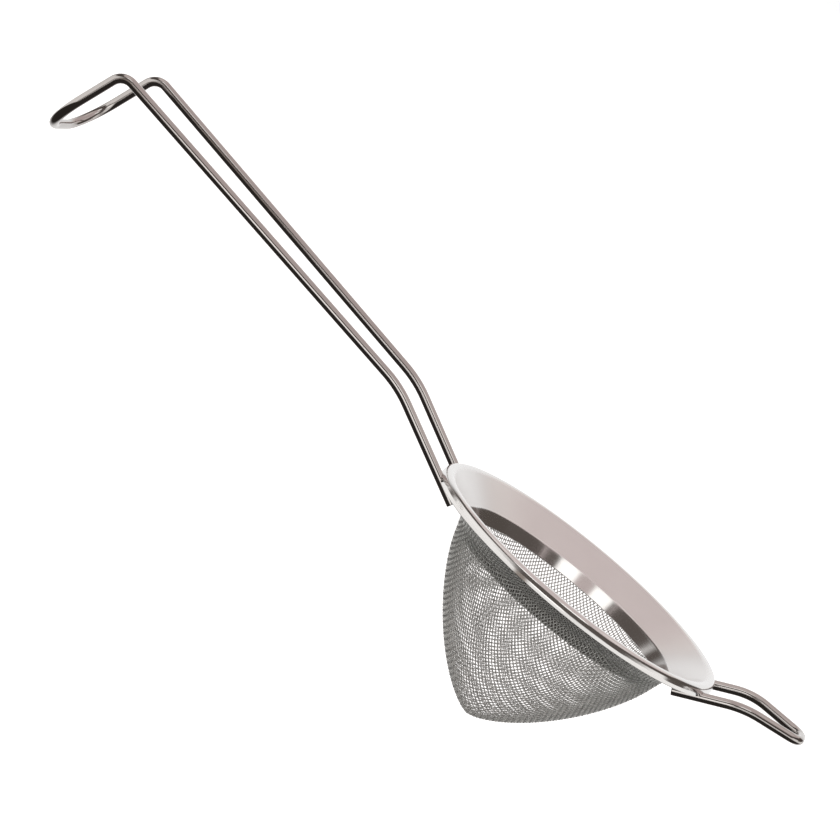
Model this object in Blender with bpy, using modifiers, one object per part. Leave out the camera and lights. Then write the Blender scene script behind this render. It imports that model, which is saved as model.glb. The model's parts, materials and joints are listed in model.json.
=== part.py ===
"""Conical tea strainer: a rolled rim ring, a woven-wire basket, a hooked handle wire and a rest wire.

Blender 4.5, metres, +Z up. The rim lies level and the basket hangs below it. The origin is the centre of
the circle on which the rim's bead sits on a cup. The handle leaves towards -X and the rest wire towards +X.
"""
import math

import bmesh
import bpy
from mathutils import Matrix, Vector

MM = 0.001

# Rim ring, pressed from one sheet with its outer edge folded down and rolled under into a bead
RIM_RADIUS = 42.0 * MM
BEAD_HEIGHT = 2.6 * MM
BEAD_WIDTH = 2.4 * MM
BEAD_LEAN = 0.1 * MM
BEAD_TOP_BEND = 1.2 * MM
BEAD_BOTTOM_BEND = 0.4 * MM
SHEET = 0.5 * MM
CREST_BLEND = 3.5 * MM
FLANGE_SLOPE = math.radians(37.5)
FLANGE_INNER_RADIUS = 31.7 * MM
SKIRT_BOTTOM_RADIUS = 29.4 * MM
SKIRT_DROP = 3.25 * MM
SKIRT_BEND = 0.9 * MM

# Basket of woven wire cloth
CLOTH = 0.5 * MM
BASKET_RADIUS = 31.25 * MM
BASKET_TOP_RADIUS = 38.5 * MM
BASKET_SHOULDER_BEND = 3.0 * MM
BASKET_DEPTH = 42.8 * MM
BASKET_WALL_TOP = -6.0 * MM
SHOULDER_OVERHANG = 0.6 * MM
DEPTH_POWER = 1.37
RADIUS_POWER = 1.39

# Both wires
WIRE_RADIUS = 1.25 * MM
GAP = 0.3 * MM
WELD_DROP = 2.2 * MM
WIRE_END_INSIDE = 5.0 * MM
SEAT_REACH = 12.0 * MM

# Handle wire: half the distance between its legs, and where its bends are
HANDLE_HALF_AT_RIM = 10.9 * MM
HANDLE_HALF_AT_KINK = 11.4 * MM
HANDLE_HALF_AT_HOOK = 15.0 * MM
KINK_X = -62.0 * MM
KINK_Z = 10.6 * MM
KINK_BEND = 30.0 * MM
CORNER_X = -161.3 * MM
CORNER_Z = 26.6 * MM
CORNER_BEND = 4.0 * MM
HOOK_LENGTH = 23.7 * MM
HOOK_ANGLE = math.radians(-111)
HOOK_BEND = 11.2 * MM

# Rest wire
REST_HALF_AT_RIM = 10.2 * MM
REST_HALF_AT_TIP = 4.3 * MM
REST_BEND_X = 50.3 * MM
REST_BEND_Z = 4.7 * MM
REST_BEND = 16.0 * MM
REST_LENGTH = 15.1 * MM
REST_ANGLE = math.radians(4)
REST_TIP_BEND = 4.2 * MM

TURN_STEPS = 64
BASKET_STEPS = 48
ARC_STEP = math.radians(12)
BEAD_STEP = math.radians(18)
MERGE = 0.00001

BEAD_CENTRE_RADIUS = RIM_RADIUS - BEAD_HEIGHT / 2


def clear_scene():
    for old in list(bpy.data.objects):
        bpy.data.objects.remove(old, do_unlink=True)


def new_collection(name):
    collection = bpy.data.collections.new(name)
    bpy.context.scene.collection.children.link(collection)
    return collection


def steel(name, color, roughness):
    material = bpy.data.materials.new(name)
    material.use_nodes = True
    shader = material.node_tree.nodes["Principled BSDF"]
    shader.inputs["Base Color"].default_value = (*color, 1.0)
    shader.inputs["Metallic"].default_value = 1.0
    shader.inputs["Roughness"].default_value = roughness
    return material


def arc(centre, radius, start, end, step):
    """Points of a circular arc in the plane of the profile, both ends included."""
    count = max(1, round(abs(end - start) / step))
    angles = [start + (end - start) * i / count for i in range(count + 1)]
    return [centre + radius * Vector((math.cos(a), math.sin(a))) for a in angles]


def rounded_route(corners, bends, step=ARC_STEP):
    """A route through the corners, in 2D or 3D, with each inner corner turned into an arc."""
    route = [corners[0]]
    for before, corner, after, bend in zip(corners, corners[1:], corners[2:], bends):
        inward = (before - corner).normalized()
        onward = (after - corner).normalized()
        turn = math.pi - inward.angle(onward)
        run = bend * math.tan(turn / 2)
        centre = corner + (inward + onward).normalized() * (bend / math.cos(turn / 2))
        first = corner + inward * run - centre
        last = corner + onward * run - centre
        count = max(1, math.ceil(turn / step))
        for i in range(count + 1):
            share = i / count
            weight_first = math.sin((1 - share) * turn) / math.sin(turn)
            weight_last = math.sin(share * turn) / math.sin(turn)
            route.append(centre + first * weight_first + last * weight_last)
    route.append(corners[-1])
    return route


def offset_line(points, distance):
    """The line moved sideways by the distance, to the left of its direction."""
    moved = []
    for i, point in enumerate(points):
        before = (point - points[i - 1]).normalized() if i > 0 else None
        after = (points[i + 1] - point).normalized() if i + 1 < len(points) else None
        before = before or after
        after = after or before
        along = (before + after).normalized()
        left = Vector((-along.y, along.x))
        moved.append(point + left * (distance / before.dot(along)))
    return moved


def crest_arc():
    """The sheet's upper face over the crest of the rim, down to where the flange runs straight."""
    centre = Vector((BEAD_CENTRE_RADIUS, BEAD_HEIGHT - CREST_BLEND))
    start = math.pi / 2
    return arc(centre, CREST_BLEND, start, start + FLANGE_SLOPE, ARC_STEP)


def flange_line():
    """The sheet's upper face, from the crest of the rim down to the foot of the skirt."""
    crest = crest_arc()
    flange_start = crest[-1]
    fall = (flange_start.x - FLANGE_INNER_RADIUS) * math.tan(FLANGE_SLOPE)
    flange_end = Vector((FLANGE_INNER_RADIUS, flange_start.y - fall))
    skirt_end = Vector((SKIRT_BOTTOM_RADIUS, flange_end.y - SKIRT_DROP))
    return crest[:-1] + rounded_route([flange_start, flange_end, skirt_end], [SKIRT_BEND])


def rim_profile():
    """The closed section of the rim ring: bead, under face, then the upper face back to the crest."""
    upper = flange_line()
    bead_inner_radius = RIM_RADIUS - BEAD_WIDTH
    under = [point for point in offset_line(upper, SHEET) if point.x < bead_inner_radius]
    outer_top = Vector((RIM_RADIUS - BEAD_LEAN, BEAD_HEIGHT))
    outer_bottom = Vector((RIM_RADIUS, 0.0))
    inner_bottom = Vector((bead_inner_radius, 0.0))
    bends = [BEAD_TOP_BEND, BEAD_BOTTOM_BEND, BEAD_BOTTOM_BEND]
    joint = Vector((bead_inner_radius, under[0].y))
    bead = rounded_route([upper[0], outer_top, outer_bottom, inner_bottom, joint], bends, BEAD_STEP)
    return bead + under + upper[:0:-1]


def basket_wall(steps):
    """The outer face of the basket's wall and round tip, from the shoulder to the axis."""
    wall_height = BASKET_DEPTH + BASKET_WALL_TOP
    points = []
    for i in range(steps + 1):
        share = math.sin(math.pi / 2 * i / steps)
        radius = BASKET_RADIUS * (1 - share ** DEPTH_POWER) ** (1 / RADIUS_POWER)
        points.append(Vector((radius, BASKET_WALL_TOP - share * wall_height)))
    return points


def basket_profile():
    """The cloth follows the flange's under face, turns over a shoulder and closes in a round tip."""
    slope = Vector((math.cos(FLANGE_SLOPE), math.sin(FLANGE_SLOPE)))
    below = Vector((slope.y, -slope.x))
    start = crest_arc()[-1] + below * (SHEET + GAP + CLOTH)
    top = start + slope * ((BASKET_TOP_RADIUS - start.x) / slope.x)
    shoulder = start + slope * ((BASKET_RADIUS + SHOULDER_OVERHANG - start.x) / slope.x)
    wall = basket_wall(12)
    outer = rounded_route([top, shoulder, wall[1]], [BASKET_SHOULDER_BEND]) + wall[2:]
    inner = offset_line(outer, -CLOTH)
    inner[-1] = Vector((0.0, outer[-1].y + CLOTH))
    return inner[::-1] + outer


def turned(name, profile, closed, steps, material, collection):
    """A solid of revolution about Z from a profile given as radius and height."""
    mesh = bpy.data.meshes.new(name)
    edges = [(i, i + 1) for i in range(len(profile) - 1)]
    if closed:
        edges.append((len(profile) - 1, 0))
    mesh.from_pydata([(point.x, 0.0, point.y) for point in profile], edges, [])
    solid = bpy.data.objects.new(name, mesh)
    collection.objects.link(solid)
    screw = solid.modifiers.new("turn", "SCREW")
    screw.axis = "Z"
    screw.angle = 2 * math.pi
    screw.steps = steps
    screw.render_steps = steps
    screw.use_merge_vertices = True
    screw.merge_threshold = MERGE
    screw.use_smooth_shade = True
    mesh.materials.append(material)
    return solid


def wire(name, route, material, collection):
    """A round wire along a route, with flat cut ends."""
    curve = bpy.data.curves.new(name, "CURVE")
    curve.dimensions = "3D"
    curve.bevel_depth = WIRE_RADIUS
    curve.bevel_resolution = 3
    curve.use_fill_caps = True
    spline = curve.splines.new("POLY")
    spline.points.add(len(route) - 1)
    for point, place in zip(spline.points, route):
        point.co = (*place, 1.0)
    spline.use_smooth = True
    solid = bpy.data.objects.new(name, curve)
    collection.objects.link(solid)
    curve.materials.append(material)
    return solid


def mirrored(half):
    """The whole route of a hairpin, from the half that lies at -Y."""
    return half + [Vector((point.x, -point.y, point.z)) for point in reversed(half)]


def weld_point(half_spacing, side):
    """Where a leg's axis passes below the bead's centre line; side is -1 at the handle, 1 at the rest."""
    x = side * math.sqrt(BEAD_CENTRE_RADIUS ** 2 - half_spacing ** 2)
    return Vector((x, -half_spacing, BEAD_HEIGHT / 2 - WELD_DROP))


def inboard_end(weld, bend):
    """The cut end of a leg, on the line from its first bend through the weld."""
    along = (weld - bend).normalized()
    return weld + along * (WIRE_END_INSIDE / math.hypot(along.x, along.y))


def handle_route():
    weld = weld_point(HANDLE_HALF_AT_RIM, -1)
    kink = Vector((KINK_X, -HANDLE_HALF_AT_KINK, KINK_Z))
    corner = Vector((CORNER_X, -HANDLE_HALF_AT_HOOK, CORNER_Z))
    hook = Vector((math.cos(HOOK_ANGLE), 0.0, math.sin(HOOK_ANGLE))) * HOOK_LENGTH
    loop = corner + hook
    across = Vector((loop.x, 0.0, loop.z))
    corners = [inboard_end(weld, kink), kink, corner, loop, across]
    half = rounded_route(corners, [KINK_BEND, CORNER_BEND, HOOK_BEND])[:-1]
    return mirrored(half)


def rest_route():
    weld = weld_point(REST_HALF_AT_RIM, 1)
    bend = Vector((REST_BEND_X, -REST_HALF_AT_RIM, REST_BEND_Z))
    reach = Vector((math.cos(REST_ANGLE), 0.0, math.sin(REST_ANGLE))) * REST_LENGTH
    tip = Vector((bend.x, -REST_HALF_AT_TIP, bend.z)) + reach
    across = Vector((tip.x, 0.0, tip.z))
    corners = [inboard_end(weld, bend), bend, tip, across]
    half = rounded_route(corners, [REST_BEND, REST_TIP_BEND])[:-1]
    return mirrored(half)


def seat_cutter(name, start, end, collection):
    """A cylinder around a wire's leg, wider by the gap, that presses its seat into the bead."""
    mesh = bpy.data.meshes.new(name)
    body = bmesh.new()
    bmesh.ops.create_cone(body, cap_ends=True, segments=20, radius1=WIRE_RADIUS + GAP,
                          radius2=WIRE_RADIUS + GAP, depth=(end - start).length)
    turn = (end - start).to_track_quat("Z", "Y").to_matrix().to_4x4()
    bmesh.ops.transform(body, matrix=Matrix.Translation((start + end) / 2) @ turn, verts=body.verts)
    body.to_mesh(mesh)
    body.free()
    cutter = bpy.data.objects.new(name, mesh)
    cutter.hide_render = True
    cutter.display_type = "WIRE"
    collection.objects.link(cutter)
    return cutter


def cut_wire_seats(ring, routes, collection):
    """Each leg of both wires is pressed a little into the bead where it is welded to it."""
    for name, route in routes:
        for side, (end, onward) in (("near", route[:2]), ("far", route[:-3:-1])):
            past_bead = end + (onward - end).normalized() * SEAT_REACH
            cutter = seat_cutter(f"{name}_seat_{side}", end, past_bead, collection)
            cut = ring.modifiers.new(cutter.name, "BOOLEAN")
            cut.operation = "DIFFERENCE"
            cut.solver = "EXACT"
            cut.object = cutter


def build():
    clear_scene()
    parts = new_collection("tea_strainer")
    cutters = new_collection("cutters")
    sheet_steel = steel("polished_sheet", (0.74, 0.72, 0.71), 0.18)
    cloth_steel = steel("woven_cloth", (0.60, 0.60, 0.59), 0.35)
    wire_steel = steel("polished_wire", (0.70, 0.67, 0.66), 0.14)

    handle = handle_route()
    rest = rest_route()
    ring = turned("rim_ring", rim_profile(), True, TURN_STEPS, sheet_steel, parts)
    cut_wire_seats(ring, [("handle", handle), ("rest", rest)], cutters)
    turned("mesh_basket", basket_profile(), False, BASKET_STEPS, cloth_steel, parts)
    wire("handle_wire", handle, wire_steel, parts)
    wire("rest_wire", rest, wire_steel, parts)


build()
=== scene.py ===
"""Looks of the conical tea strainer: pressed rim, woven wire cloth, hooked handle wire and rest wire.

Metres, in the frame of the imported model: the rim lies level at z = 0 and the basket hangs below it. The
handle leaves towards -X and the rest wire towards +X.
"""
import json
import math

import bmesh
import bpy
from mathutils import Matrix, Vector, noise

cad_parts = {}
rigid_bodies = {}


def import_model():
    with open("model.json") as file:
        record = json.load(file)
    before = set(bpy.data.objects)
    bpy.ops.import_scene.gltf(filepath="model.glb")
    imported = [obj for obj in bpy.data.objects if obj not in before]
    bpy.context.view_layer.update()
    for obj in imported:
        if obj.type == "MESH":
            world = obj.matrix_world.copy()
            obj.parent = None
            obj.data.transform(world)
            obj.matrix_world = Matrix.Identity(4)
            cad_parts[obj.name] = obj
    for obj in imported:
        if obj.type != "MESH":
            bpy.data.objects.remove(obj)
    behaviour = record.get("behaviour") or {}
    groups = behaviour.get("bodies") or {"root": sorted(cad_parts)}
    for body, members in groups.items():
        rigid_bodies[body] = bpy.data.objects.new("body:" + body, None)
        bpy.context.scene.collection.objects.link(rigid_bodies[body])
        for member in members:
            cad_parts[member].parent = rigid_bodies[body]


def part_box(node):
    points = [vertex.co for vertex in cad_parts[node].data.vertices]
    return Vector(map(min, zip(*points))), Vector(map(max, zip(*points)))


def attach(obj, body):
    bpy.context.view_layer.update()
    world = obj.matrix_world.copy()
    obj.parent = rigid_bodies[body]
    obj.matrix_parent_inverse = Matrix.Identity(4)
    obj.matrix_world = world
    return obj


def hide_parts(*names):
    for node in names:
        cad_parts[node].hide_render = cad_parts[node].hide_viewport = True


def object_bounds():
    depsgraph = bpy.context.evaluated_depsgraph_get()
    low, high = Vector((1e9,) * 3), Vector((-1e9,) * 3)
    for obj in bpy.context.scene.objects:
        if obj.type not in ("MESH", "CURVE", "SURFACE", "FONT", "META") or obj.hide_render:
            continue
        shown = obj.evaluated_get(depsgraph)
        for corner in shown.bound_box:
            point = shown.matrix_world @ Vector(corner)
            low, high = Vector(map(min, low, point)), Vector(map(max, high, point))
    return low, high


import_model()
cad_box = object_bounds()

MM = 0.001
BODY = "root"

# Rim ring: one pressed sheet whose outer edge leans out, turns upright and rolls under
RIM_RADIUS = 42.0 * MM
BEAD_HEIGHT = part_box("rim_ring")[1].z
BEAD_FACE_HEIGHT = 0.95 * MM
BEAD_LEAN = math.radians(18)
BEAD_BOTTOM_BEND = 0.15 * MM
BEAD_FACE_BEND = 0.8 * MM
BEAD_TOP_BEND = 1.3 * MM
ROLL_WIDTH = 2.4 * MM
ROLL_RISE = 1.5 * MM
SHEET = 0.45 * MM
SHEET_EDGE_BEND = 0.12 * MM
SUPPORT = 0.12 * MM
CREST_WIDTH = 1.65 * MM
CREST_BLEND = 2.4 * MM
FLANGE_SLOPE = math.radians(37.5)
FLANGE_INNER_RADIUS = 31.7 * MM
SKIRT_BOTTOM_RADIUS = 30.1 * MM
SKIRT_DROP = 3.37 * MM
SKIRT_BEND = 0.9 * MM
CREST_CENTRE = Vector((RIM_RADIUS - CREST_WIDTH, BEAD_HEIGHT - CREST_BLEND))
RIM_STEPS = 240
SHARP_ANGLE = math.radians(50)

# Woven cloth of the basket: a flat plain weave pressed into a cone with a round tip
CLOTH_WIRE = 0.125 * MM
CLOTH_PITCH = 1.02 * MM
CLOTH_CRIMP = 0.13 * MM
CLOTH_TURN = math.radians(49.5)
CLOTH_DRAW = 1.07
BASKET_RADIUS = 31.25 * MM
BASKET_DEPTH = 42.8 * MM
BASKET_WALL_TOP = -6.0 * MM
DEPTH_POWER = 1.37
RADIUS_POWER = 1.39
CLOTH_EDGE_RADIUS = 39.4 * MM
SHOULDER_OVERHANG = 0.6 * MM
SHOULDER_BEND = 2.5 * MM
CLOTH_WIRE_ROUNDNESS = 1
CLOTH_PROFILE_STEPS = 60
CLOTH_PIECES = 2

# Both wires
WIRE_RADIUS = 1.25 * MM
WIRE_ROUNDNESS = 8
WIRE_END_SOFTNESS = 0.18 * MM
WELD_DROP = 2.1 * MM
WELD_SIZE = Vector((1.5 * MM, 1.05 * MM, 0.5 * MM))
WELD_SWELL = 0.22
WELD_SWELLS_PER_RADIUS = 1.7
WIRE_END_INSIDE = 5.0 * MM
HANDLE_HALF_AT_RIM = 10.9 * MM
HANDLE_HALF_AT_KINK = 11.4 * MM
HANDLE_HALF_AT_HOOK = 15.0 * MM
KINK = (-62.0 * MM, 10.6 * MM)
KINK_BEND = 30.0 * MM
CORNER = (-161.3 * MM, 26.6 * MM)
CORNER_BEND = 4.0 * MM
HOOK_LENGTH = 23.7 * MM
HOOK_ANGLE = math.radians(-111)
HOOK_BEND = 11.2 * MM
REST_HALF_AT_RIM = 10.2 * MM
REST_HALF_AT_TIP = 4.3 * MM
REST_CORNER = (50.3 * MM, 4.7 * MM)
REST_BEND = 16.0 * MM
REST_LENGTH = 15.1 * MM
REST_ANGLE = math.radians(4)
REST_TIP_BEND = 4.2 * MM
WIRE_ARC_STEP = math.radians(3)
SHEET_ARC_STEP = math.radians(5)

# Steels: the lighter and the duller tone of each, the range of its roughness, and the size of its marks
WIRE_TONES = (0.55, 0.52, 0.505), (0.46, 0.43, 0.415)
WIRE_ROUGHNESS = 0.07, 0.15
SCUFF_ROUGHNESS = 0.10
SCUFF_SHARE = 0.58, 0.74
SCUFF = 1.6 * MM
DIE_LINE = 0.25 * MM
DIE_LINE_SQUEEZE = 0.03
WIRE_TARNISH = 9 * MM
SHEET_TONES = (0.80, 0.785, 0.775), (0.72, 0.70, 0.69)
SATIN_ROUGHNESS = 0.24, 0.36
POLISHED_ROUGHNESS = 0.08, 0.16
SATIN_STARTS = 31.2 * MM, 32.2 * MM
SATIN_ENDS = 38.6 * MM, 40.4 * MM
TURNING_MARK = 0.22 * MM
SHEET_SMUDGE = 11 * MM
CLOTH_TONES = (0.64, 0.64, 0.62), (0.50, 0.50, 0.485)
CLOTH_ROUGHNESS = 0.22, 0.36
CLOTH_METALLIC = 0.85
CLOTH_TARNISH = 7 * MM
WELD_TONES = (0.60, 0.52, 0.42), (0.42, 0.43, 0.46)
WELD_ROUGHNESS = 0.30, 0.50
HEAT_TINT = 0.8 * MM
WELD_RIPPLE = 0.25 * MM

# Studio cards round the object: azimuths, elevations, distance, colour, strength, soft share of each edge
LAMP_WHITE = (1.0, 0.99, 0.97)
WARM_WALL = (1.0, 0.86, 0.84)
WARM_SHADE = (1.0, 0.85, 0.75)
CARDS = {
    "tripod": ((-34, -20), (-20, 12), 0.62, WARM_SHADE, 0.3, 0.25),
    "front_strip": ((-24, 12), (-9, 16), 0.64, LAMP_WHITE, 1.7, 0.2),
    "strip_right": ((8, 44), (-9, 14), 0.66, LAMP_WHITE, 0.9, 0.2),
    "lamp_right": ((1, 31), (33, 52), 1.0, LAMP_WHITE, 1.5, 0.16),
    "lamp_left": ((-44, -16), (32, 47), 1.0, LAMP_WHITE, 1.5, 0.16),
    "window_left": ((-115, -28), (-6, 24), 0.95, LAMP_WHITE, 1.1, 0.15),
    "window_right": ((55, 100), (-6, 19), 0.95, LAMP_WHITE, 1.1, 0.15),
    "between_lamps": ((-22, 8), (34, 50), 1.1, WARM_WALL, 0.6, 0.2),
    "dark_side": ((95, 145), (5, 40), 0.9, WARM_SHADE, 0.1, 0.1),
}
CARD_STEPS = 12

# The ceiling of the studio, the world round it and the floor
CEILING_X = -0.8, 0.8
CEILING_Y = -0.72, 1.1
CEILING_Z = 0.8
CEILING_TONES = (0.70, 0.61, 0.60), (0.90, 0.84, 0.81)
CEILING_CLOUDS = 0.625
CLOUD_EDGES = 0.4, 0.6
BELOW = (0.035, 0.031, 0.028)
HORIZON = (1.1, 1.09, 1.07)
BELT = (0.11, 0.094, 0.085)
OVERHEAD = (0.6, 0.52, 0.505)
BEHIND = (1.0, 1.0, 1.0)
HORIZON_STARTS = -0.31, -0.22
BELT_STARTS = 0.03, 0.12
OVERHEAD_STARTS = 0.70, 0.78
BEHIND_STARTS = 0.45, 0.85
FLOOR_DROP = 0.12
FLOOR_HALF_SIZE = 40.0
FLOOR_WHITE = (0.9, 0.9, 0.9, 1.0)
FLOOR_ROUGHNESS = 0.8
FLOOR_GLOW = 0.8

# Camera, as a look-at point with an orbit and a roll
CAMERA_TARGET = Vector((-54.2 * MM, 0.0, 5.6 * MM))
CAMERA_DISTANCE = 790.7 * MM
CAMERA_AZIMUTH = math.radians(5.88)
CAMERA_ELEVATION = math.radians(10.56)
CAMERA_ROLL = math.radians(39.0)
CAMERA_LENS = 139.07
CAMERA_SENSOR = 36.0


# ---------------------------------------------------------------- routes and sections

def arc(centre, radius, start, end, step):
    """Points of a circular arc in a plane, both ends included."""
    count = max(1, round(abs(end - start) / step))
    angles = [start + (end - start) * i / count for i in range(count + 1)]
    return [centre + radius * Vector((math.cos(a), math.sin(a))) for a in angles]


def rounded_route(corners, bends, step):
    """A route through the corners, in 2D or 3D, with each inner corner turned into an arc."""
    route = [corners[0]]
    for before, corner, after, bend in zip(corners, corners[1:], corners[2:], bends):
        inward = (before - corner).normalized()
        onward = (after - corner).normalized()
        turn = math.pi - inward.angle(onward)
        run = bend * math.tan(turn / 2)
        centre = corner + (inward + onward).normalized() * (bend / math.cos(turn / 2))
        first = corner + inward * run - centre
        last = corner + onward * run - centre
        count = max(2, math.ceil(turn / step))
        for i in range(count + 1):
            share = i / count
            weight_first = math.sin((1 - share) * turn) / math.sin(turn)
            weight_last = math.sin(share * turn) / math.sin(turn)
            route.append(centre + first * weight_first + last * weight_last)
    route.append(corners[-1])
    return route


def offset_line(points, distance):
    """The line moved sideways by the distance, to the left of its direction."""
    moved = []
    for i, point in enumerate(points):
        before = (point - points[i - 1]).normalized() if i > 0 else None
        after = (points[i + 1] - point).normalized() if i + 1 < len(points) else None
        before = before or after
        after = after or before
        along = (before + after).normalized()
        left = Vector((-along.y, along.x))
        moved.append(point + left * (distance / before.dot(along)))
    return moved


def crest_arc():
    """The sheet's upper face over the crest of the rim, down to where the flange runs straight."""
    start = math.pi / 2
    return arc(CREST_CENTRE, CREST_BLEND, start, start + FLANGE_SLOPE, SHEET_ARC_STEP)


def flange_line():
    """The sheet's upper face, from the crest of the rim down to the foot of the skirt."""
    crest = crest_arc()
    flange_start = crest[-1]
    fall = (flange_start.x - FLANGE_INNER_RADIUS) * math.tan(FLANGE_SLOPE)
    flange_end = Vector((FLANGE_INNER_RADIUS, flange_start.y - fall))
    skirt_end = Vector((SKIRT_BOTTOM_RADIUS, flange_end.y - SKIRT_DROP))
    bend = rounded_route([flange_start, flange_end, skirt_end], [SKIRT_BEND], SHEET_ARC_STEP)
    return crest[:-1] + bend


def rim_section():
    """The closed section of the sheet: up from its rolled edge, over the crest and down to the skirt."""
    roll_end = Vector((RIM_RADIUS - ROLL_WIDTH, ROLL_RISE))
    inner_bottom = Vector((RIM_RADIUS - ROLL_WIDTH, 0.0))
    outer_bottom = Vector((RIM_RADIUS, 0.0))
    face_top = Vector((RIM_RADIUS, BEAD_FACE_HEIGHT))
    outer_top = Vector((RIM_RADIUS - (BEAD_HEIGHT - BEAD_FACE_HEIGHT) * math.tan(BEAD_LEAN), BEAD_HEIGHT))
    crest = flange_line()
    corners = [roll_end, inner_bottom, outer_bottom, face_top, outer_top, crest[0]]
    bends = [BEAD_BOTTOM_BEND, BEAD_BOTTOM_BEND, BEAD_FACE_BEND, BEAD_TOP_BEND]
    roll = rounded_route(corners, bends, SHEET_ARC_STEP)
    shown = roll[:-1] + crest
    hidden = offset_line(shown, SHEET)
    bends = [SHEET_EDGE_BEND, SHEET_EDGE_BEND]
    foot = rounded_route([shown[-2], shown[-1], hidden[-1], hidden[-2]], bends, SHEET_ARC_STEP)
    lip = rounded_route([hidden[1], hidden[0], shown[0], shown[1]], bends, SHEET_ARC_STEP)
    return with_supports(shown[2:-2] + foot + hidden[-3:1:-1] + lip)


def with_supports(loop):
    """Adds a point near both ends of each long straight run, which keeps its smooth shading flat."""
    supported = []
    for here, there in zip(loop, loop[1:] + loop[:1]):
        run = there - here
        supported.append(here)
        if run.length > 4 * SUPPORT:
            supported.append(here + run.normalized() * SUPPORT)
            supported.append(there - run.normalized() * SUPPORT)
    return supported


def handle_route():
    weld = weld_point(HANDLE_HALF_AT_RIM, -1)
    kink = Vector((KINK[0], -HANDLE_HALF_AT_KINK, KINK[1]))
    corner = Vector((CORNER[0], -HANDLE_HALF_AT_HOOK, CORNER[1]))
    loop = corner + Vector((math.cos(HOOK_ANGLE), 0.0, math.sin(HOOK_ANGLE))) * HOOK_LENGTH
    across = Vector((loop.x, 0.0, loop.z))
    corners = [inboard_end(weld, kink), kink, corner, loop, across]
    return mirrored(rounded_route(corners, [KINK_BEND, CORNER_BEND, HOOK_BEND], WIRE_ARC_STEP)[:-1])


def rest_route():
    weld = weld_point(REST_HALF_AT_RIM, 1)
    bend = Vector((REST_CORNER[0], -REST_HALF_AT_RIM, REST_CORNER[1]))
    reach = Vector((math.cos(REST_ANGLE), 0.0, math.sin(REST_ANGLE))) * REST_LENGTH
    tip = Vector((bend.x, -REST_HALF_AT_TIP, bend.z)) + reach
    across = Vector((tip.x, 0.0, tip.z))
    corners = [inboard_end(weld, bend), bend, tip, across]
    return mirrored(rounded_route(corners, [REST_BEND, REST_TIP_BEND], WIRE_ARC_STEP)[:-1])


def weld_point(half_spacing, side):
    """Where a leg's axis passes below the bead's centre line; side is -1 at the handle, 1 at the rest."""
    x = side * math.sqrt((RIM_RADIUS - BEAD_HEIGHT / 2) ** 2 - half_spacing ** 2)
    return Vector((x, -half_spacing, BEAD_HEIGHT / 2 - WELD_DROP))


def inboard_end(weld, bend):
    """The cut end of a leg, on the line from its first bend through the weld."""
    along = (weld - bend).normalized()
    return weld + along * (WIRE_END_INSIDE / math.hypot(along.x, along.y))


def mirrored(half):
    """The whole route of a hairpin, from the half that lies at -Y."""
    return half + [Vector((point.x, -point.y, point.z)) for point in reversed(half)]


# ---------------------------------------------------------------- materials

def add_node(tree, kind, **inputs):
    """A shader node with its inputs set by name; a value is a number, a tuple or another node's output."""
    made = tree.nodes.new(kind)
    for name, value in inputs.items():
        socket = made.inputs[name.replace("_", " ")]
        if isinstance(value, bpy.types.NodeSocket):
            tree.links.new(value, socket)
        else:
            socket.default_value = value
    return made


def calculate(tree, operation, first, second=None):
    """One Math node; first and second are numbers or sockets."""
    made = tree.nodes.new("ShaderNodeMath")
    made.operation = operation
    for socket, value in zip(made.inputs, (first, second)):
        if isinstance(value, bpy.types.NodeSocket):
            tree.links.new(value, socket)
        elif value is not None:
            socket.default_value = value
    return made.outputs[0]


def between(tree, value, limits):
    """0 below the lower limit and 1 above the upper one, with a smooth rise."""
    made = tree.nodes.new("ShaderNodeMapRange")
    made.interpolation_type = "SMOOTHSTEP"
    made.clamp = True
    tree.links.new(value, made.inputs["Value"])
    made.inputs["From Min"].default_value = limits[0]
    made.inputs["From Max"].default_value = limits[1]
    return made.outputs["Result"]


def spread(tree, value, limits):
    """A 0 to 1 value spread over the two limits."""
    made = tree.nodes.new("ShaderNodeMapRange")
    tree.links.new(value, made.inputs["Value"])
    made.inputs["To Min"].default_value = limits[0]
    made.inputs["To Max"].default_value = limits[1]
    return made.outputs["Result"]


def blend_colors(tree, share, low, high):
    """A colour between low and high by a 0 to 1 share."""
    made = tree.nodes.new("ShaderNodeMix")
    made.data_type = "RGBA"
    tree.links.new(share, made.inputs["Factor"])
    for socket, value in ((made.inputs["A"], low), (made.inputs["B"], high)):
        if isinstance(value, bpy.types.NodeSocket):
            tree.links.new(value, socket)
        else:
            socket.default_value = (*value, 1.0)
    return made.outputs["Result"]


def cloudy(tree, vector, size, detail=3.0):
    """Noise with features of the given size in metres."""
    return add_node(tree, "ShaderNodeTexNoise", Vector=vector, Scale=1 / size, Detail=detail).outputs["Fac"]


def add_bump(tree, shader, height, strength, distance):
    bump = add_node(tree, "ShaderNodeBump", Height=height, Strength=strength, Distance=distance)
    tree.links.new(bump.outputs["Normal"], shader.inputs["Normal"])


def new_steel(name):
    """A metal material, with its tree, its shader and the object coordinates."""
    material = bpy.data.materials.new(name)
    material.use_nodes = True
    tree = material.node_tree
    shader = tree.nodes["Principled BSDF"]
    shader.inputs["Metallic"].default_value = 1.0
    place = tree.nodes.new("ShaderNodeTexCoord").outputs["Object"]
    return material, tree, shader, place


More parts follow.
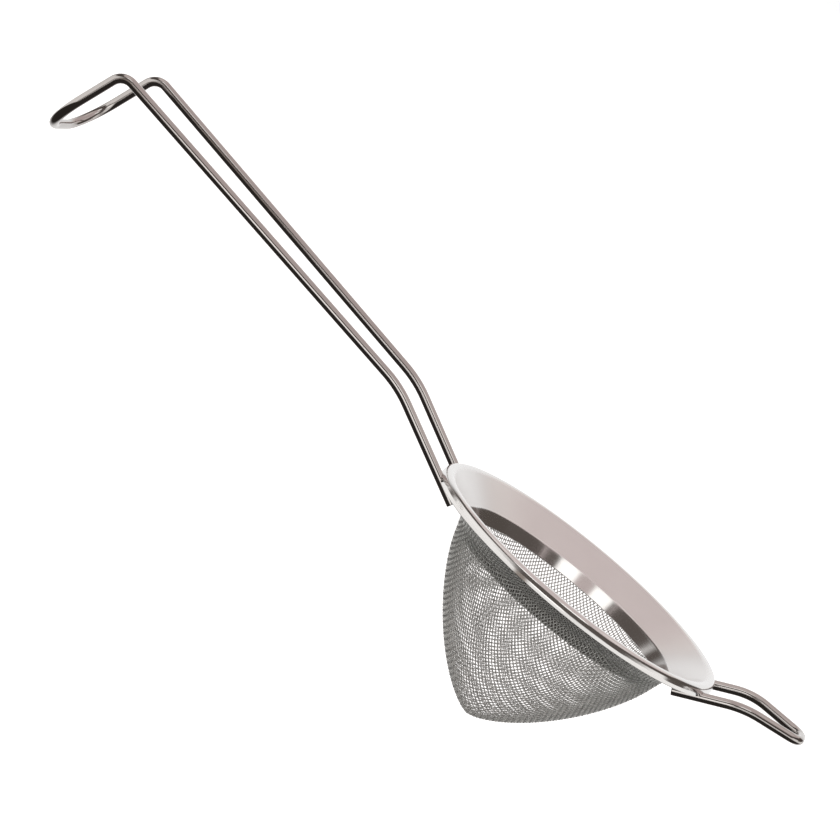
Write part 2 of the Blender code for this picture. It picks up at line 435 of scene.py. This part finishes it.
def wire_steel():
    """Bright drawn wire: fine lengthwise die lines, faint tarnish clouds and handling scuffs."""
    material, tree, shader, place = new_steel("drawn_wire")
    squeeze = (DIE_LINE_SQUEEZE, 1.0, 1.0)
    squeezed = add_node(tree, "ShaderNodeMapping", Vector=place, Scale=squeeze).outputs[0]
    die_lines = cloudy(tree, squeezed, DIE_LINE, detail=2.0)
    tarnish = cloudy(tree, place, WIRE_TARNISH)
    scuffs = between(tree, cloudy(tree, place, SCUFF, detail=5.0), SCUFF_SHARE)
    tree.links.new(blend_colors(tree, tarnish, *WIRE_TONES), shader.inputs["Base Color"])
    haze = calculate(tree, "MULTIPLY", scuffs, SCUFF_ROUGHNESS)
    rough = calculate(tree, "ADD", haze, spread(tree, die_lines, WIRE_ROUGHNESS))
    tree.links.new(rough, shader.inputs["Roughness"])
    add_bump(tree, shader, die_lines, strength=0.12, distance=0.02 * MM)
    return material


def sheet_steel():
    """Pressed sheet: satin on the sloping flange, polished on the bead and the skirt, with turning marks."""
    material, tree, shader, place = new_steel("pressed_sheet")
    split = add_node(tree, "ShaderNodeSeparateXYZ", Vector=place).outputs
    flat_square = calculate(tree, "ADD", calculate(tree, "POWER", split["X"], 2.0),
                            calculate(tree, "POWER", split["Y"], 2.0))
    radius = calculate(tree, "SQRT", flat_square)
    rings_at = add_node(tree, "ShaderNodeCombineXYZ", X=radius, Y=split["Z"])
    turning = cloudy(tree, rings_at.outputs[0], TURNING_MARK, detail=4.0)
    smudge = cloudy(tree, place, SHEET_SMUDGE)
    inside_crest = calculate(tree, "SUBTRACT", 1.0, between(tree, radius, SATIN_ENDS))
    on_flange = calculate(tree, "MULTIPLY", between(tree, radius, SATIN_STARTS), inside_crest)
    tree.links.new(blend_colors(tree, smudge, *SHEET_TONES), shader.inputs["Base Color"])
    satin = spread(tree, turning, SATIN_ROUGHNESS)
    polished = spread(tree, smudge, POLISHED_ROUGHNESS)
    rough = tree.nodes.new("ShaderNodeMix")
    for socket, value in (("Factor", on_flange), ("A", polished), ("B", satin)):
        tree.links.new(value, rough.inputs[socket])
    tree.links.new(rough.outputs["Result"], shader.inputs["Roughness"])
    add_bump(tree, shader, turning, strength=0.10, distance=0.03 * MM)
    return material


def cloth_steel():
    """Fine woven wire: each wire a little lighter or duller than the next, with faint tea tarnish."""
    material, tree, shader, place = new_steel("woven_wire")
    each_wire = tree.nodes.new("ShaderNodeNewGeometry").outputs["Random Per Island"]
    tarnish = cloudy(tree, place, CLOTH_TARNISH)
    mixed = calculate(tree, "MULTIPLY", calculate(tree, "ADD", each_wire, tarnish), 0.5)
    tree.links.new(blend_colors(tree, mixed, *CLOTH_TONES), shader.inputs["Base Color"])
    tree.links.new(spread(tree, mixed, CLOTH_ROUGHNESS), shader.inputs["Roughness"])
    shader.inputs["Metallic"].default_value = CLOTH_METALLIC
    return material


def weld_steel():
    """Fused weld metal: duller, with a straw and blue-grey heat tint."""
    material, tree, shader, place = new_steel("weld_metal")
    heat = cloudy(tree, place, HEAT_TINT)
    tree.links.new(blend_colors(tree, heat, *WELD_TONES), shader.inputs["Base Color"])
    ripple = cloudy(tree, place, WELD_RIPPLE)
    tree.links.new(spread(tree, ripple, WELD_ROUGHNESS), shader.inputs["Roughness"])
    add_bump(tree, shader, ripple, strength=0.3, distance=0.05 * MM)
    return material


# ---------------------------------------------------------------- pieces

def place_piece(piece, material, slot, *nodes):
    """Gives a piece its material and body, and hides the CAD nodes it stands for."""
    piece.data.materials.append(material)
    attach(piece, BODY)
    if nodes:
        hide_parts(*nodes)
    return piece


def turned(name, section, steps):
    """A closed section, given as radius and height, turned round the Z axis."""
    corners = []
    for step in range(steps):
        angle = 2 * math.pi * step / steps
        corners += [(point.x * math.cos(angle), point.x * math.sin(angle), point.y) for point in section]
    size = len(section)
    faces = []
    for step in range(steps):
        here, there = step * size, (step + 1) % steps * size
        faces += [(here + i, here + (i + 1) % size, there + (i + 1) % size, there + i) for i in range(size)]
    mesh = bpy.data.meshes.new(name)
    mesh.from_pydata(corners, [], faces)
    mesh.shade_smooth()
    mesh.set_sharp_from_angle(angle=SHARP_ANGLE)
    ring = bpy.data.objects.new(name, mesh)
    bpy.context.scene.collection.objects.link(ring)
    return ring


def tube(name, routes, radius, resolution, end_round=0.0):
    """Round wire along each route; end_round softens the cut ends over that length."""
    curve = bpy.data.curves.new(name, "CURVE")
    curve.dimensions = "3D"
    curve.bevel_depth = radius
    curve.bevel_resolution = resolution
    curve.use_fill_caps = True
    for route in routes:
        points = [(point, 1.0) for point in route]
        if end_round:
            points = rounded_ends(route, radius, end_round)
        spline = curve.splines.new("POLY")
        spline.points.add(len(points) - 1)
        for target, (point, share) in zip(spline.points, points):
            target.co = (*point, 1.0)
            target.radius = share
        spline.use_smooth = True
    piece = bpy.data.objects.new(name, curve)
    bpy.context.scene.collection.objects.link(piece)
    return piece


def rounded_ends(route, radius, length):
    """The route with a few thinner points at each end, so that a cut end has a soft edge."""
    steps = 4
    lips = []
    for end, inner in ((route[0], route[1]), (route[-1], route[-2])):
        along = (inner - end).normalized()
        lip = []
        for i in range(steps + 1):
            angle = math.pi / 2 * i / steps
            share = 1 - (length / radius) * (1 - math.sin(angle))
            lip.append((end + along * (length * (1 - math.cos(angle))), share))
        lip.append((end + along * 2 * length, 1.0))
        lips.append(lip)
    return lips[0] + [(point, 1.0) for point in route[1:-1]] + lips[1][::-1]


def weld_nugget(name, centre, along, seed):
    """A small uneven lump of fused metal that fills the corner between a wire and the bead."""
    mesh = bpy.data.meshes.new(name)
    body = bmesh.new()
    bmesh.ops.create_icosphere(body, subdivisions=4, radius=1.0)
    for vertex in body.verts:
        spot = vertex.co * WELD_SWELLS_PER_RADIUS + Vector((seed, 0, 0))
        swell = 1 + WELD_SWELL * noise.noise(spot)
        vertex.co = vertex.co * WELD_SIZE * swell
    turn = along.to_track_quat("X", "Z").to_matrix().to_4x4()
    bmesh.ops.transform(body, matrix=Matrix.Translation(centre) @ turn, verts=body.verts)
    body.to_mesh(mesh)
    body.free()
    mesh.shade_smooth()
    piece = bpy.data.objects.new(name, mesh)
    bpy.context.scene.collection.objects.link(piece)
    return piece


def make_welds(name, route, material):
    """The two welds of one hairpin wire, where its legs pass under the bead's centre line."""
    for side, (end, onward) in (("near", route[:2]), ("far", route[:-3:-1])):
        along = (onward - end).normalized()
        weld = end + along * (WIRE_END_INSIDE / math.hypot(along.x, along.y))
        lift = Vector((0, 0, WIRE_RADIUS))
        nugget = weld_nugget(f"{name}_weld_{side}", weld + lift, along, len(bpy.data.objects))
        place_piece(nugget, material, "polished_wire")


# ---------------------------------------------------------------- woven cloth

def cloth_profile():
    """The middle of the cloth from the tip of the basket to its edge in the rolled rim."""
    wall_height = BASKET_DEPTH + BASKET_WALL_TOP
    outer = []
    for i in range(CLOTH_PROFILE_STEPS + 1):
        share = math.sin(math.pi / 2 * (1 - i / CLOTH_PROFILE_STEPS))
        radius = BASKET_RADIUS * (1 - share ** DEPTH_POWER) ** (1 / RADIUS_POWER)
        outer.append(Vector((radius, BASKET_WALL_TOP - share * wall_height)))
    wall = offset_line(outer[1:], CLOTH_WIRE + CLOTH_CRIMP)
    tip = Vector((0.0, outer[0].y + CLOTH_WIRE + CLOTH_CRIMP))
    slope = Vector((math.cos(FLANGE_SLOPE), math.sin(FLANGE_SLOPE)))
    below = Vector((slope.y, -slope.x))
    start = crest_arc()[-1] + below * (SHEET + CLOTH_WIRE + CLOTH_CRIMP)
    edge = start + slope * ((CLOTH_EDGE_RADIUS - start.x) / slope.x)
    shoulder = start + slope * ((BASKET_RADIUS + SHOULDER_OVERHANG - start.x) / slope.x)
    over_shoulder = rounded_route([wall[-3], shoulder, edge], [SHOULDER_BEND], SHEET_ARC_STEP)
    return [tip] + wall[:-3] + over_shoulder


class PressedCloth:
    """Maps a point of the flat cloth, given from its centre, onto the pressed basket."""

    def __init__(self, profile):
        self.profile = profile
        self.lengths = [0.0]
        for before, after in zip(profile, profile[1:]):
            self.lengths.append(self.lengths[-1] + (after - before).length)
        self.size = self.lengths[-1]
        self.cursor = 0

    def at(self, u, v, height):
        reach = math.hypot(u, v)
        along = self.size * (reach / self.size) ** (1 / CLOTH_DRAW)
        while self.cursor + 2 < len(self.lengths) and self.lengths[self.cursor + 1] < along:
            self.cursor += 1
        while self.cursor > 0 and self.lengths[self.cursor] > along:
            self.cursor -= 1
        first, last = self.profile[self.cursor], self.profile[self.cursor + 1]
        run = self.lengths[self.cursor + 1] - self.lengths[self.cursor]
        share = (along - self.lengths[self.cursor]) / run
        slope = (last - first) / run
        point = first.lerp(last, share) + Vector((slope.y, -slope.x)) * height
        angle = math.atan2(v, u) + CLOTH_TURN
        return Vector((point.x * math.cos(angle), point.x * math.sin(angle), point.y))


def cloth_wire_route(cloth, index, is_warp):
    """One wire of the weave, over and under those it crosses."""
    offset = (index + 0.5) * CLOTH_PITCH
    half_run = math.sqrt(cloth.size ** 2 - offset ** 2)
    count = int(half_run / (CLOTH_PITCH / 2))
    side = 1 if (index % 2 == 0) == is_warp else -1
    route = []
    for step in range(-count, count + 1):
        along = step * CLOTH_PITCH / 2
        height = side * CLOTH_CRIMP * math.sin(math.pi * step / 2)
        u, v = (offset, along) if is_warp else (along, offset)
        route.append(cloth.at(u, v, height))
    return route


def make_cloth(material):
    cloth = PressedCloth(cloth_profile())
    reach = int(cloth.size / CLOTH_PITCH)
    indices = list(range(-reach, reach))
    for direction, is_warp in (("warp", True), ("weft", False)):
        for part in range(CLOTH_PIECES):
            share = len(indices) * part // CLOTH_PIECES, len(indices) * (part + 1) // CLOTH_PIECES
            routes = [cloth_wire_route(cloth, index, is_warp) for index in indices[slice(*share)]]
            wires = tube(f"cloth_{direction}_{part + 1}", routes, CLOTH_WIRE, CLOTH_WIRE_ROUNDNESS)
            place_piece(wires, material, "woven_cloth", "mesh_basket")


# ---------------------------------------------------------------- stage

def soft_glow(name, color, strength, edge):
    """The glow of a card, fading out over the given share of its width and height."""
    material = bpy.data.materials.new(name)
    material.use_nodes = True
    tree = material.node_tree
    tree.nodes.clear()
    on_card = tree.nodes.new("ShaderNodeUVMap").outputs[0]
    place = add_node(tree, "ShaderNodeSeparateXYZ", Vector=on_card).outputs
    mask = None
    for axis in ("X", "Y"):
        from_middle = calculate(tree, "ABSOLUTE", calculate(tree, "SUBTRACT", place[axis], 0.5))
        from_edge = calculate(tree, "SUBTRACT", 0.5, from_middle)
        inside = between(tree, from_edge, (0.0, edge))
        mask = inside if mask is None else calculate(tree, "MULTIPLY", mask, inside)
    glow = add_node(tree, "ShaderNodeEmission", Color=(*color, 1.0), Strength=strength)
    clear = tree.nodes.new("ShaderNodeBsdfTransparent")
    mix = tree.nodes.new("ShaderNodeMixShader")
    out = tree.nodes.new("ShaderNodeOutputMaterial")
    tree.links.new(mask, mix.inputs[0])
    tree.links.new(clear.outputs[0], mix.inputs[1])
    tree.links.new(glow.outputs[0], mix.inputs[2])
    tree.links.new(mix.outputs[0], out.inputs["Surface"])
    return material


def studio_card(name, azimuths, elevations, distance, color, strength, edge):
    """A curved card that lights the object and shows in its reflections, and that the camera doesn't see.

    Azimuths run from the front (-Y) towards +X and elevations up from the horizon, both in degrees.
    """
    mesh = bpy.data.meshes.new(name)
    grid = bmesh.new()
    maps = grid.loops.layers.uv.new("UVMap")
    shares = [i / CARD_STEPS for i in range(CARD_STEPS + 1)]
    rows = []
    for low in shares:
        up = math.radians(elevations[0] + (elevations[1] - elevations[0]) * low)
        row = []
        for across in shares:
            out = math.radians(azimuths[0] + (azimuths[1] - azimuths[0]) * across)
            level = distance * math.cos(up)
            spot = (level * math.sin(out), -level * math.cos(out), distance * math.sin(up))
            row.append((grid.verts.new(spot), (across, low)))
        rows.append(row)
    for low, high in zip(rows, rows[1:]):
        for j in range(CARD_STEPS):
            corners = (low[j], low[j + 1], high[j + 1], high[j])
            face = grid.faces.new([vertex for vertex, _ in corners])
            for loop, (_, share) in zip(face.loops, corners):
                loop[maps].uv = share
    grid.to_mesh(mesh)
    grid.free()
    card = bpy.data.objects.new(name, mesh)
    bpy.context.scene.collection.objects.link(card)
    mesh.materials.append(soft_glow(name, color, strength, edge))
    hide_from_camera(card)


def hide_from_camera(card):
    """Keeps a card out of the picture and lets light pass it."""
    card.visible_camera = False
    card.visible_shadow = False


def make_ceiling():
    """The warm grey top of the light tent, a little uneven."""
    mesh = bpy.data.meshes.new("ceiling")
    low_x, high_x = CEILING_X
    low_y, high_y = CEILING_Y
    corners = [(low_x, low_y), (high_x, low_y), (high_x, high_y), (low_x, high_y)]
    mesh.from_pydata([(x, y, CEILING_Z) for x, y in corners], [], [(0, 1, 2, 3)])
    ceiling = bpy.data.objects.new("ceiling", mesh)
    bpy.context.scene.collection.objects.link(ceiling)
    material = bpy.data.materials.new("ceiling")
    material.use_nodes = True
    tree = material.node_tree
    tree.nodes.clear()
    place = tree.nodes.new("ShaderNodeTexCoord").outputs["Object"]
    clouds = cloudy(tree, place, CEILING_CLOUDS, detail=0.0)
    color = blend_colors(tree, between(tree, clouds, CLOUD_EDGES), *CEILING_TONES)
    glow = add_node(tree, "ShaderNodeEmission", Color=color)
    out = tree.nodes.new("ShaderNodeOutputMaterial")
    tree.links.new(glow.outputs[0], out.inputs["Surface"])
    mesh.materials.append(material)
    hide_from_camera(ceiling)


def make_studio():
    make_ceiling()
    for name, settings in CARDS.items():
        studio_card(name, *settings)


def make_world():
    """Pure white where the camera looks past the object.

    For every other ray it is dark below, white at the horizon, a dark belt above that, warm grey overhead and
    white behind.
    """
    world = bpy.data.worlds.new("studio")
    bpy.context.scene.world = world
    world.use_nodes = True
    tree = world.node_tree
    tree.nodes.clear()
    towards = tree.nodes.new("ShaderNodeTexCoord").outputs["Generated"]
    split = add_node(tree, "ShaderNodeSeparateXYZ", Vector=towards).outputs
    room = blend_colors(tree, between(tree, split["Z"], HORIZON_STARTS), BELOW, HORIZON)
    room = blend_colors(tree, between(tree, split["Z"], BELT_STARTS), room, BELT)
    room = blend_colors(tree, between(tree, split["Z"], OVERHEAD_STARTS), room, OVERHEAD)
    room = blend_colors(tree, between(tree, split["Y"], BEHIND_STARTS), room, BEHIND)
    seen = add_node(tree, "ShaderNodeBackground", Color=(1.0, 1.0, 1.0, 1.0), Strength=1.0)
    lit = add_node(tree, "ShaderNodeBackground", Color=room, Strength=1.0)
    path = tree.nodes.new("ShaderNodeLightPath")
    mix = tree.nodes.new("ShaderNodeMixShader")
    out = tree.nodes.new("ShaderNodeOutputWorld")
    tree.links.new(path.outputs["Is Camera Ray"], mix.inputs[0])
    tree.links.new(lit.outputs[0], mix.inputs[1])
    tree.links.new(seen.outputs[0], mix.inputs[2])
    tree.links.new(mix.outputs[0], out.inputs["Surface"])


def make_floor():
    """A wide pale floor well below the strainer, which hangs free as on a cup."""
    mesh = bpy.data.meshes.new("floor")
    grid = bmesh.new()
    bmesh.ops.create_grid(grid, x_segments=1, y_segments=1, size=FLOOR_HALF_SIZE)
    grid.to_mesh(mesh)
    grid.free()
    floor = bpy.data.objects.new("floor", mesh)
    floor.location.z = cad_box[0][2] - FLOOR_DROP
    bpy.context.scene.collection.objects.link(floor)
    material = bpy.data.materials.new("pale_floor")
    material.use_nodes = True
    shader = material.node_tree.nodes["Principled BSDF"]
    shader.inputs["Base Color"].default_value = FLOOR_WHITE
    shader.inputs["Roughness"].default_value = FLOOR_ROUGHNESS
    shader.inputs["Emission Color"].default_value = (1.0, 1.0, 1.0, 1.0)
    shader.inputs["Emission Strength"].default_value = FLOOR_GLOW
    mesh.materials.append(material)
    floor.visible_glossy = False


def make_camera():
    data = bpy.data.cameras.new("camera")
    data.lens = CAMERA_LENS
    data.sensor_width = CAMERA_SENSOR
    camera = bpy.data.objects.new("camera", data)
    bpy.context.scene.collection.objects.link(camera)
    level = math.cos(CAMERA_ELEVATION)
    out_x = level * math.sin(CAMERA_AZIMUTH)
    out_y = -level * math.cos(CAMERA_AZIMUTH)
    away = Vector((out_x, out_y, math.sin(CAMERA_ELEVATION)))
    facing = away.to_track_quat("Z", "Y").to_matrix().to_4x4()
    roll = Matrix.Rotation(CAMERA_ROLL, 4, "Z")
    camera.matrix_world = Matrix.Translation(CAMERA_TARGET + away * CAMERA_DISTANCE) @ facing @ roll
    bpy.context.scene.camera = camera


make_camera()
make_world()
make_floor()
make_studio()

wire_material = wire_steel()
weld_material = weld_steel()
handle = handle_route()
rest = rest_route()
for node, route in (("handle_wire", handle), ("rest_wire", rest)):
    drawn = tube(f"{node}_drawn", [route], WIRE_RADIUS, WIRE_ROUNDNESS, WIRE_END_SOFTNESS)
    place_piece(drawn, wire_material, "polished_wire", node)
make_welds("handle", handle, weld_material)
make_welds("rest", rest, weld_material)
rim = turned("rim_ring_pressed", rim_section(), RIM_STEPS)
place_piece(rim, sheet_steel(), "polished_sheet", "rim_ring")
make_cloth(cloth_steel())

bpy.context.scene.view_settings.view_transform = "Standard"
